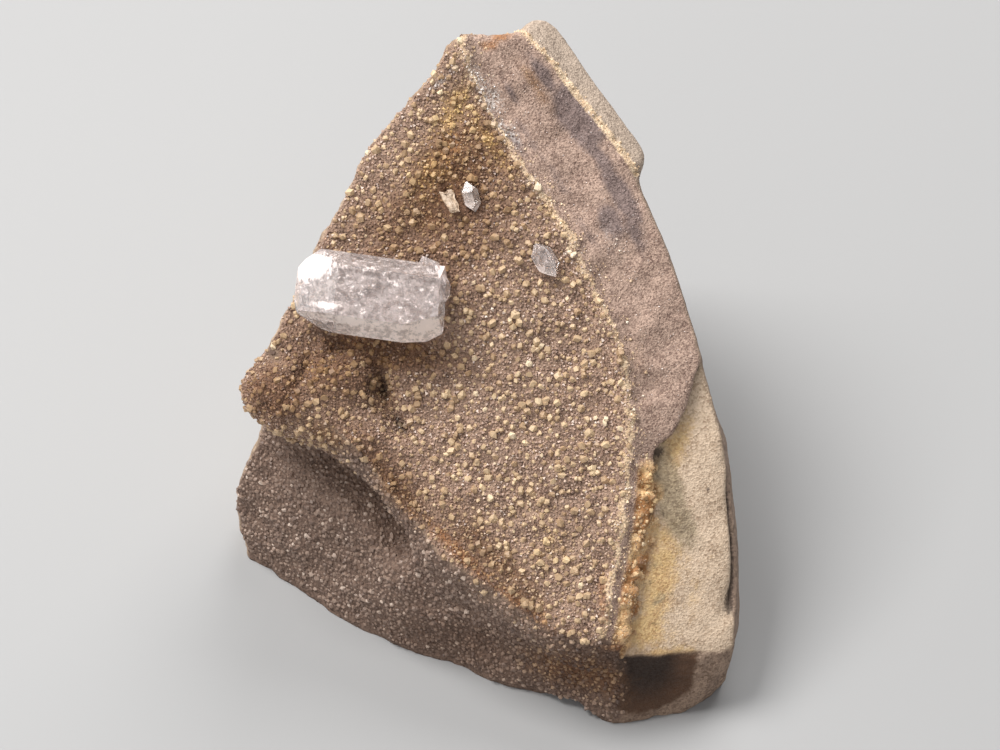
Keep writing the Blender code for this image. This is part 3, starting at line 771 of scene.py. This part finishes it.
def scatterTree(name, mask):
    group = bpy.data.node_groups.new(name, "GeometryNodeTree")
    face = group.interface
    face.new_socket("Geometry", in_out="OUTPUT", socket_type="NodeSocketGeometry")
    face.new_socket("Geometry", in_out="INPUT", socket_type="NodeSocketGeometry")
    kinds = {
        "Spacing": "Float", "Density": "Float", "Smallest": "Float", "Largest": "Float",
        "Sink": "Float", "Tilt": "Float", "Seed": "Int", "Shapes": "Collection", "Finish": "Material",
    }
    for label, kind in kinds.items():
        face.new_socket(label, in_out="INPUT", socket_type="NodeSocket" + kind)
    tree = Tree(group)
    given = tree.nodes.new("NodeGroupInput")
    wire = {socket.name: Wire(tree, socket) for socket in given.outputs if socket.name}
    named = {"data_type": "FLOAT"}
    where = tree.node("GeometryNodeInputNamedAttribute", named, {"Name": mask}, "Attribute")
    spread = tree.node(
        "GeometryNodeDistributePointsOnFaces", {"distribute_method": "POISSON"},
        {"Mesh": wire["Geometry"], "Distance Min": wire["Spacing"], "Density Max": wire["Density"],
         "Density Factor": where, "Seed": wire["Seed"]},
    )
    madeBy = spread.socket.node
    normal, upright = Wire(tree, madeBy.outputs["Normal"]), Wire(tree, madeBy.outputs["Rotation"])
    share = tree.node("FunctionNodeRandomValue", {"data_type": "FLOAT"}, {2: 0.0, 3: 1.0, 8: 3}, 1)
    size = wire["Smallest"] + (wire["Largest"] - wire["Smallest"]) * tree.math("POWER", share, 1.8)
    down = tree.node(
        "ShaderNodeVectorMath", {"operation": "SCALE"}, {"Vector": normal, "Scale": size * wire["Sink"] * -1}
    )
    captured = tree.node(
        "GeometryNodeStoreNamedAttribute", {"data_type": "FLOAT", "domain": "POINT"},
        {"Geometry": spread, "Name": "size", "Value": size},
    )
    placed = tree.node("GeometryNodeSetPosition", None, {"Geometry": captured, "Offset": down})
    limits = {0: (0.0, 0.0, 0.0), 1: (1.0, 1.0, 6.2832), 8: 11}
    angles = tree.node("FunctionNodeRandomValue", {"data_type": "FLOAT_VECTOR"}, limits, 0)
    wide = tree.node("ShaderNodeCombineXYZ", None, {0: wire["Tilt"], 1: wire["Tilt"], 2: 1.0})
    turned = tree.node("ShaderNodeVectorMath", {"operation": "MULTIPLY"}, {0: angles, 1: wide})
    turn = tree.node("FunctionNodeEulerToRotation", None, {"Euler": turned})
    turn = tree.node(
        "FunctionNodeRotateRotation", {"rotation_space": "LOCAL"}, {"Rotation": upright, "Rotate By": turn}
    )
    shapes = tree.node(
        "GeometryNodeCollectionInfo", None,
        {"Collection": wire["Shapes"], "Separate Children": True, "Reset Children": True},
    )
    pick = tree.node("FunctionNodeRandomValue", {"data_type": "INT"}, {4: 0, 5: 99, 8: 5}, 2)
    scale = tree.node(
        "GeometryNodeInputNamedAttribute", named, {"Name": "size"}, "Attribute"
    )
    grains = tree.node(
        "GeometryNodeInstanceOnPoints", None,
        {"Points": placed, "Instance": shapes, "Pick Instance": True, "Instance Index": pick,
         "Rotation": turn, "Scale": scale},
    )
    tone = tree.node("FunctionNodeRandomValue", {"data_type": "FLOAT"}, {2: 0.0, 3: 1.0, 8: 17}, 1)
    toned = tree.node(
        "GeometryNodeStoreNamedAttribute", {"data_type": "FLOAT", "domain": "INSTANCE"},
        {"Geometry": grains, "Name": "tone", "Value": tone},
    )
    real = tree.node("GeometryNodeRealizeInstances", None, {"Geometry": toned})
    finished = tree.node("GeometryNodeSetMaterial", None, {"Geometry": real, "Material": wire["Finish"]})
    tree.node("NodeGroupOutput", None, {0: finished})
    return group


def scatter(name, surface, mask, shapes, finish, facts):
    group = scatterTree(name, mask)
    carrier = addObject(name + "Carrier", surface.data.copy())
    modifier = carrier.modifiers.new(name, "NODES")
    modifier.node_group = group
    values = {**facts, "Shapes": shapes, "Finish": finish}
    for item in group.interface.items_tree:
        if item.in_out == "INPUT" and item.name in values:
            modifier[item.identifier] = values[item.name]
    mesh = evaluatedMesh(carrier)
    bpy.data.objects.remove(carrier)
    mesh.transform(faceToWorld())
    mesh.calc_loop_triangles()
    print(name, "scattered:", len(mesh.loop_triangles), "triangles")
    piece = addObject(name, mesh)
    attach(piece, "root")
    return piece


# Finishes of the rock and its grains


def mottled(paint, first, second, length, detail=3.0):
    return paint.mix(paint.step(paint.noise(length, detail), 0.35, 0.65), first, second)


def granular(paint, dark, light, grain, bias=0.5):
    # a tone of its own for every small grain, over slower patches
    tone = paint.cells(grain, output="Color") * 0.7 + paint.noise(grain * 9, 3.0) * 0.6
    return paint.mix(paint.step(tone, bias - 0.3, bias + 0.45), dark, light)


def patchOf(paint, name, wander, low=0.25, high=0.85):
    return paint.step(paint.region(name) + (wander - 0.5) * 0.9, low, high)


def rockFinish():
    paint = Paint("septarianStone")
    region = paint.region
    fine, patchy = paint.noise(0.3, 3.0, 0.7), paint.noise(2.0, 4.0, 0.6)
    # matrix of the broken sides, outer skin, facet and strip
    colour = granular(paint, tint(128, 107, 89), tint(196, 173, 148), 0.25)
    film = paint.step(paint.noise(11.0, 5.0, 0.6), 0.45, 0.7)
    colour = paint.mix(film * 0.7, colour, granular(paint, tint(110, 84, 64), tint(172, 140, 112), 0.3))
    skin = granular(paint, tint(98, 80, 68), tint(158, 134, 117), 0.3)
    skin = paint.mix(film * 0.5, skin, granular(paint, tint(84, 66, 55), tint(134, 108, 90), 0.4))
    colour = paint.mix(region("skin") * 0.85, colour, skin)
    facet = granular(paint, tint(150, 124, 100), tint(212, 188, 162), 0.2, 0.42)
    colour = paint.mix(region("facet"), colour, facet)
    strip = granular(paint, tint(124, 106, 92), tint(190, 170, 151), 0.18, 0.42)
    colour = paint.mix(region("strip"), colour, strip)
    ochre = paint.step(region("ochre") + (patchy - 0.5) * 1.2 + (fine - 0.5) * 0.8, 0.15, 0.9)
    colour = paint.mix(ochre * 0.75, colour, granular(paint, tint(166, 120, 62), tint(220, 184, 122), 0.25))
    olive = paint.step(region("olive") + (patchy - 0.5) * 0.9 + (fine - 0.5) * 0.8, 0.3, 0.8)
    colour = paint.mix(olive * 0.8, colour, granular(paint, tint(98, 82, 60), tint(166, 148, 120), 0.3))
    # the foot's colour is darker: partly its own brown, partly painted shade of its downward face
    foot = granular(paint, tint(100, 78, 63), tint(158, 134, 115), 0.25)
    colour = paint.mix(region("foot") * 0.95, colour, foot)
    # the scoop under the foot is painted near black: its own dark brown, deepened by painted shade in the hollow
    scoop = paint.step(region("scoop") + (patchy - 0.5) * 0.4, 0.55, 0.75) * region("foot")
    hollow = paint.mix(paint.step(region("scoop") + (patchy - 0.5) * 0.5, 0.75, 1.5), tint(84, 57, 37), tint(42, 26, 15))
    colour = paint.mix(scoop * 0.95, colour, hollow)
    colour = paint.mix(region("stub"), colour, granular(paint, tint(104, 82, 68), tint(178, 148, 120), 0.25))
    # crust past the crest
    crust = granular(paint, tint(108, 83, 72), tint(186, 158, 140), 0.17)
    colour = paint.mix(region("crust"), colour, crust)
    grey = patchOf(paint, "grey", patchy, 0.2, 0.7)
    colour = paint.mix(grey * 0.85, colour, granular(paint, tint(72, 58, 56), tint(128, 110, 106), 0.17))
    # druse ground
    ground = granular(paint, tint(94, 72, 60), tint(174, 144, 122), 0.16)
    colour = paint.mix(region("upper"), colour, ground)
    # the lower wall's ground is darker than the upper: partly its own tone, partly painted shade of the wall that faces
    # down
    lowerGround = granular(paint, tint(76, 57, 47), tint(130, 106, 91), 0.2)
    colour = paint.mix(region("lower"), colour, lowerGround)
    for name, dark, light, share in (
        ("brown", tint(80, 52, 33), tint(146, 108, 74), 0.8), ("yellow", tint(124, 88, 50), tint(196, 160, 104), 0.55),
        ("rust", tint(92, 54, 30), tint(166, 112, 66), 0.8),
    ):
        stain = granular(paint, dark, light, 0.2)
        colour = paint.mix(patchOf(paint, name, patchy) * share, colour, stain)
    # multiplied darker over those patches: partly the rock's browner tone, partly painted shade in the knob's crevices
    # and at the foot
    colour = paint.mix(region("deep"), colour, tint(190, 170, 152), "MULTIPLY")
    sparkle = granular(paint, tint(84, 68, 62), tint(236, 228, 220), 0.22, 0.55)
    colour = paint.mix(patchOf(paint, "white", patchy) * paint.step(fine, 0.42, 0.58) * 0.6, colour, sparkle)
    # pale lines of the crest and of the strip's inner edge, rusty band, dark line of the crust's edge and the rind's
    # crack, painted shade in the crevices together with dark specks
    pale = paint.math("MAXIMUM", region("crestLine") * 0.9, region("stripLine"))
    pale = paint.step(pale + (fine - 0.5) * 0.9 + (patchy - 0.5) * 0.6, 0.3, 0.75)
    colour = paint.mix(pale * 0.9, colour, granular(paint, tint(184, 152, 118), tint(232, 206, 172), 0.2))
    rusty = paint.mix(paint.step(patchy, 0.42, 0.58), tint(156, 110, 70), tint(226, 192, 144))
    rusty = paint.mix(paint.step(fine, 0.35, 0.7) * 0.5, rusty, tint(200, 142, 84))
    colour = paint.mix(region("rustBand"), colour, rusty)
    # painted shade in the crevices and dark specks, with the real dark lines of the crust's edge and the rind's crack
    dark = paint.math("MAXIMUM", region("shade"), region("edgeLine") * 0.8)
    dark = paint.math("MAXIMUM", dark, region("crack") * 1.1)
    dark = paint.step(dark + (fine - 0.5) * 1.2, 0.4, 0.9)
    colour = paint.mix(dark * 0.8, colour, tint(58, 44, 36))
    grainy = paint.cells(0.2)
    bumps = fine * 0.07 + patchy * 0.08 + grainy * 0.07
    shader = paint.surface(
        Base_Color=colour, Roughness=paint.step(fine, 0.3, 0.7, 0.95, 0.7), Normal=paint.bump(bumps, 0.9)
    )
    return paint.finish(shader)


def grainFinish(name, dark, light, spark, roughness, greyed=0.6, whitened=0.85, stainedBy=1.0):
    paint = Paint(name)
    tone = paint.region("tone")
    colour = paint.mix(tone, dark, light)
    colour = paint.mix(paint.step(tone, 0.92, 1.0) * 0.8, colour, spark)
    cloud = paint.noise(0.3, 3.0, 0.6)
    colour = paint.mix(paint.step(cloud, 0.35, 0.7) * 0.3, colour, light)
    lightness = paint.step(tone + (cloud - 0.5), 0.1, 0.9)
    for region, deep, pale, share in (
        ("brown", tint(106, 73, 48), tint(188, 156, 116), 0.7 * stainedBy),
        ("yellow", tint(152, 112, 62), tint(224, 192, 132), min(1.0, stainedBy)),
        ("rust", tint(112, 70, 42), tint(188, 142, 94), 0.75 * stainedBy),
        ("white", tint(120, 108, 104), tint(246, 242, 238), whitened),
        ("grey", tint(96, 82, 82), tint(160, 146, 144), greyed),
    ):
        patch = paint.step(paint.region(region) + (tone - 0.5) * 0.5, 0.2, 0.9) * share
        colour = paint.mix(patch, colour, paint.mix(lightness, deep, pale))
    # grains are darkened the same way: partly their browner tone, partly painted shade in crevices, at the foot and in
    # the dark spots
    colour = paint.mix(paint.region("deep"), colour, tint(196, 178, 160), "MULTIPLY")
    colour = paint.mix(paint.step(paint.region("shade") + (cloud - 0.5), 0.3, 0.9) * 0.7, colour, tint(70, 52, 42))
    shader = paint.surface(
        Base_Color=colour, Roughness=roughness, Normal=paint.bump(paint.noise(0.2, 2.0) * 0.02, 0.6)
    )
    return paint.finish(shader)


rock.data.materials.append(rockFinish())

tips = grainCollection("tips", 6, 1)
blunts = grainCollection("blunts", 12, 1)
clusters = grainCollection("clusters", 11, 3)

tanGrains = {
    "Spacing": 0.66, "Density": 4.2, "Smallest": 0.18, "Largest": 0.52, "Sink": 0.1, "Tilt": 3.0, "Seed": 5,
}
fineDruse = {
    "Spacing": 0.25, "Density": 30.0, "Smallest": 0.12, "Largest": 0.26, "Sink": 0.0, "Tilt": 1.2, "Seed": 2,
}
lowerDruse = {
    "Spacing": 0.4, "Density": 12.0, "Smallest": 0.16, "Largest": 0.36, "Sink": 0.2, "Tilt": 1.6, "Seed": 3,
}
crestDruse = {
    "Spacing": 0.24, "Density": 30.0, "Smallest": 0.08, "Largest": 0.23, "Sink": 0.1, "Tilt": 1.5, "Seed": 4,
}
crustDruse = {
    "Spacing": 0.26, "Density": 25.0, "Smallest": 0.05, "Largest": 0.12, "Sink": 0.1, "Tilt": 1.5, "Seed": 6,
}
lineCrumbs = {
    "Spacing": 0.3, "Density": 20.0, "Smallest": 0.08, "Largest": 0.22, "Sink": 0.2, "Tilt": 2.0, "Seed": 8,
}
rustCrumbs = {
    "Spacing": 0.42, "Density": 12.0, "Smallest": 0.1, "Largest": 0.34, "Sink": 0.2, "Tilt": 2.0, "Seed": 9,
}

tanFinish = grainFinish(
    "tanCalcite", tint(164, 133, 102), tint(214, 187, 150), tint(230, 212, 182), 0.5,
    greyed=0.25, whitened=0.2, stainedBy=0.6,
)
mauveFinish = grainFinish(
    "mauveDruse", tint(118, 91, 78), tint(200, 170, 150), tint(238, 222, 210), 0.35, greyed=0.4, whitened=0.6
)
# its grains are darker too: partly their own tone, partly painted shade of the wall that faces down
lowerFinish = grainFinish("greyDruse", tint(98, 76, 64), tint(158, 134, 118), tint(214, 194, 178), 0.5)
crestFinish = grainFinish(
    "paleDruse", tint(184, 153, 120), tint(230, 204, 170), tint(246, 236, 222), 0.35, stainedBy=0.4
)
crustFinish = grainFinish("crustSparkle", tint(124, 98, 86), tint(192, 166, 150), tint(248, 240, 234), 0.25)
rustFinish = grainFinish("rustyCrumbs", tint(142, 104, 70), tint(226, 194, 150), tint(244, 226, 194), 0.7, stainedBy=0.5)

scatter("tanGrains", rock, "upperGrains", clusters, tanFinish, tanGrains)
scatter("fineDruse", rock, "upperGrains", tips, mauveFinish, fineDruse)
scatter("lowerDruse", rock, "lowerGrains", blunts, lowerFinish, lowerDruse)
scatter("crestDruse", rock, "crestGrains", tips, crestFinish, crestDruse)
scatter("crustDruse", rock, "crustGrains", tips, crustFinish, crustDruse)
scatter("lineCrumbs", rock, "lineGrains", blunts, crestFinish, lineCrumbs)
scatter("rustCrumbs", rock, "rustGrains", blunts, rustFinish, rustCrumbs)

rock.data.transform(faceToWorld())
grindBase(rock.data)
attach(rock, "root")
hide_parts("septarian_rock")
low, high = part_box("septarian_rock")
print("rock finished: CAD box", [round(v * 1000, 2) for v in (*low, *high)])

# Crystals

crystalFacts = {"edge": 0.00005, "index": 1.544, "meshSize": 0.00035}

# cloudy places of the big crystal: middle, half length, half width, direction, strength
clouds = {
    "white": (
        (-17.4, 11.3, 2.3, 1.5, 8, 1.5), (-18.4, 10.2, 0.9, 0.9, 0, 1.0), (-14.8, 11.2, 1.3, 0.5, -20, 0.8),
        (-16.2, 7.35, 2.0, 0.45, -8, 1.2), (-13.6, 5.8, 2.6, 0.5, -10, 0.9), (-6.2, 5.4, 1.9, 0.9, 20, 1.0),
        (-4.3, 10.6, 1.7, 1.0, -40, 1.2), (-9.5, 9.6, 1.2, 0.35, -35, 0.9), (-11.8, 11.0, 1.3, 0.35, 10, 0.9),
        (-5.4, 8.0, 1.0, 0.5, 60, 0.6), (-8.4, 5.2, 1.6, 0.5, 0, 0.8),
    ),
    "dull": ((-16.5, 5.4, 2.4, 1.0, -20, 1.0), (-18.6, 7.6, 0.7, 0.9, 90, 0.8), (-12.0, 12.0, 3.4, 0.6, -8, 0.6)),
}
veils = {"count": 34, "length": (0.4, 1.6), "width": (0.2, 0.8), "thickness": 0.02, "wave": 0.25, "seed": 3}


def crystalFinish(name, colour, haze, fleck=0.9, milk=tint(248, 232, 226)):
    paint = Paint(name)
    clear = paint.surface(
        Base_Color=colour, Roughness=0.02, IOR=crystalFacts["index"], Transmission_Weight=1.0
    )
    # the lower faces are painted whiter and milkier: painted light on the side the lamps leave in shade
    low = paint.region("lowSide")
    whiter = paint.mix(low, milk, tint(255, 240, 231))
    milky = paint.surface(Base_Color=whiter, Roughness=0.25, IOR=crystalFacts["index"])
    soft, crisp = paint.noise(1.6, 3.0, 0.55), paint.noise(0.55, 7.0, 0.72, 0.25)
    strand = {"operation": "MULTIPLY"}
    strands = paint.node("ShaderNodeVectorMath", strand, {0: paint.at, 1: (1.0, 0.22, 0.22)})
    feather = paint.noise(0.22, 4.0, 0.65, at=strands)
    body = (haze + low * 0.6) * paint.step(crisp * 0.75 + soft * 0.25, 0.42, 0.58, 0.4, 1.0)
    flecks = paint.step(crisp, 0.595, 0.625) * fleck
    bright = paint.region("white") * (0.9 + 0.3 * low) + (crisp - 0.5) * 1.1 + (feather - 0.5) * 1.3
    bright = paint.step(bright, 0.4, 0.85)
    share = paint.math("MAXIMUM", paint.math("MAXIMUM", body, flecks), bright * 0.95)
    share = share * (1 - paint.region("dull") * 0.7)
    shader = paint.node("ShaderNodeMixShader", None, {0: share, 1: clear, 2: milky})
    return paint.finish(shader)


def addVeils(solid, name):
    # thin cloudy sheets along healed cracks, closed and wholly inside the crystal
    tree, low, high = crystalTree(name)
    random = np.random.default_rng(veils["seed"])
    toWorld = faceToWorld()
    made = 0
    while made < veils["count"]:
        middle = random.uniform(low, high)
        length, width = random.uniform(*veils["length"]), random.uniform(*veils["width"])
        turned = Matrix.Rotation(random.uniform(-0.6, 0.6), 3, "Z") @ Matrix.Rotation(random.uniform(-0.7, 0.7), 3, "X")
        sheet = bmesh.new()
        bmesh.ops.create_icosphere(sheet, subdivisions=3, radius=1)
        fits = True
        for vertex in sheet.verts:
            flat = vertex.co
            lift = veils["wave"] * noise.noise(Vector((flat.x * length, flat.y * width, made)))
            local = Vector((flat.x * length, flat.y * width, flat.z * veils["thickness"] + lift))
            place = Vector(middle) + turned @ local
            nearest, normal, _, distance = tree.find_nearest(place)
            fits = fits and (place - nearest).dot(normal) < 0 and distance > 0.1
            vertex.co = toWorld @ place
        if fits:
            part = bpy.data.meshes.new("sheet")
            sheet.to_mesh(part)
            before = len(solid.faces)
            solid.from_mesh(part)
            bpy.data.meshes.remove(part)
            solid.faces.ensure_lookup_table()
            for face in solid.faces[before:]:
                face.smooth = True
            made += 1
        sheet.free()


def cutSmall(solid, size):
    for _ in range(7):
        bmesh.ops.triangulate(solid, faces=solid.faces)
        longEdges = [edge for edge in solid.edges if edge.calc_length() > size * 1.6]
        if not longEdges:
            break
        bmesh.ops.subdivide_edges(solid, edges=longEdges, cuts=1)
    bmesh.ops.triangulate(solid, faces=solid.faces)


def dropFlaps(solid):
    # pairs of faces on the same three corners, which the cutting leaves at slivers
    sharing = {}
    for face in solid.faces:
        sharing.setdefault(frozenset(face.verts), []).append(face)
    spare = [face for faces in sharing.values() for face in faces[len(faces) % 2:] if len(faces) > 1]
    bmesh.ops.delete(solid, geom=spare, context="FACES")


def refineCrystal(node, name, material, meshSize=None, veiled=False):
    mesh = frame["nodes"][node].data.copy()
    mesh.name = name
    solid = bmesh.new()
    solid.from_mesh(mesh)
    bmesh.ops.remove_doubles(solid, verts=solid.verts, dist=2e-6)
    bmesh.ops.dissolve_limit(
        solid, angle_limit=math.radians(1), verts=solid.verts, edges=solid.edges
    )
    if meshSize:
        cutSmall(solid, meshSize)
    corners = [edge for edge in solid.edges if edge.calc_face_angle(0) > math.radians(1)]
    bmesh.ops.bevel(
        solid, geom=corners, offset=crystalFacts["edge"], segments=1, profile=0.5,
        affect="EDGES", clamp_overlap=True,
    )
    bmesh.ops.triangulate(solid, faces=solid.faces)
    dropFlaps(solid)
    bmesh.ops.recalc_face_normals(solid, faces=solid.faces)
    if solid.calc_volume(signed=True) < 0:
        bmesh.ops.reverse_faces(solid, faces=solid.faces)
    for face in solid.faces:
        face.smooth = False
    if veiled:
        addVeils(solid, node)
    solid.to_mesh(mesh)
    solid.free()
    for layer in list(mesh.uv_layers):
        mesh.uv_layers.remove(layer)
    if meshSize and material.name != "paleCalcite":
        addClouds(mesh)
    mesh.calc_loop_triangles()
    print(name, "made:", len(mesh.loop_triangles), "triangles")
    piece = addObject(name, mesh, material)
    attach(piece, "root")
    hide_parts(node)
    return piece


def addClouds(mesh):
    flat = mesh.copy()
    flat.transform(faceToWorld().inverted())
    points, normals = meshPoints(flat)
    bpy.data.meshes.remove(flat)
    # the faces that point down, marked to be painted lighter where the lamps leave them in shade
    setRegions(mesh, {"lowSide": smoothStep(-0.15, -0.6, normals[:, 1])})
    for name, blots in clouds.items():
        total = np.zeros(len(points))
        for u, v, length, width, turn, strength in blots:
            total = np.maximum(total, strength * blot(points, u, v, length, width, turn))
        setRegions(mesh, {name: total})


clearFinish = crystalFinish("clearQuartz", (0.98, 0.96, 0.95, 1), 0.4)
paleFinish = crystalFinish("paleQuartz", (0.95, 0.92, 0.89, 1), 0.3, 0.6)
greyFinish = crystalFinish("greyQuartz", (0.9, 0.85, 0.8, 1), 0.55, 0.2, tint(196, 174, 160))
for node, name, finish in (
    ("quartz_crystal", "quartzCrystal", clearFinish),
    ("small_quartz_crystal", "smallQuartz", paleFinish),
    ("upper_quartz_crystal", "upperQuartz", greyFinish),
):
    piece = refineCrystal(node, name, finish, crystalFacts["meshSize"], node == "quartz_crystal")


def bladeFinish():
    paint = Paint("paleCalcite")
    colour = granular(paint, tint(132, 106, 84), tint(204, 182, 158), 0.25, 0.4)
    return paint.finish(paint.surface(Base_Color=colour, Roughness=0.4))


bladeWear = {"meshSize": 0.0003, "depth": 0.45, "wave": 0.9, "shrink": 0.86}


def wearBlade(mesh):
    # eaten back unevenly, always inwards from the plain blade
    points, normals = meshPoints(mesh)
    middle = points.mean(axis=0)
    bites = np.clip(0.5 + 0.5 * waves(points * 1000, bladeWear["wave"]), 0, 1)
    points = middle + (points - middle) * bladeWear["shrink"]
    setPoints(mesh, points - normals * (bites * bladeWear["depth"] * 0.001)[:, None])


blade = refineCrystal("pale_calcite_blade", "paleBlade", bladeFinish(), bladeWear["meshSize"])
wearBlade(blade.data)
print("crystals finished")

# Plain pale floor and soft studio light

studio = {
    "floor": 1.6,
    "floorColour": tint(162, 161, 160),
    "world": (0.80, 0.82, 0.86, 1.0),
    "worldStrength": 0.30,
    "lamps": (  # place, aim, size, power
        ("key", (-0.20, 0.06, 0.42), 0.22, 2.6),
        ("top", (0.12, 0.28, 0.38), 0.30, 1.5),
        ("front", (-0.12, -0.45, 0.2), 0.35, 0.65),
        ("left", (-0.43, -0.01, 0.19), 0.12, 0.12),
    ),
}


def setStudio():
    size = studio["floor"]
    mesh = bpy.data.meshes.new("floor")
    corners = [(-size, -size, -2e-5), (size, -size, -2e-5), (size, size, -2e-5), (-size, size, -2e-5)]
    mesh.from_pydata(corners, [], [(0, 1, 2, 3)])
    paint = Paint("floorPaint")
    shader = paint.surface(Base_Color=studio["floorColour"], Roughness=0.75)
    addObject("floor", mesh, paint.finish(shader))
    world = bpy.data.worlds.new("studio")
    bpy.context.scene.world = world
    world.use_nodes = True
    background = world.node_tree.nodes["Background"]
    background.inputs["Color"].default_value = studio["world"]
    background.inputs["Strength"].default_value = studio["worldStrength"]
    for name, place, width, power in studio["lamps"]:
        lamp = bpy.data.objects.new(name, bpy.data.lights.new(name, "AREA"))
        bpy.context.scene.collection.objects.link(lamp)
        lamp.location = place
        toObject = Vector((0, 0, 0.025)) - Vector(place)
        lamp.rotation_euler = toObject.to_track_quat("-Z", "Y").to_euler()
        lamp.data.shape = "SQUARE"
        lamp.data.size = width
        lamp.data.energy = power
    bpy.context.scene.view_settings.view_transform = "Standard"


setStudio()
for kept in (tips, blunts, clusters):
    for helper in list(kept.objects):
        bpy.data.objects.remove(helper)
    bpy.data.collections.remove(kept)
print("studio set")
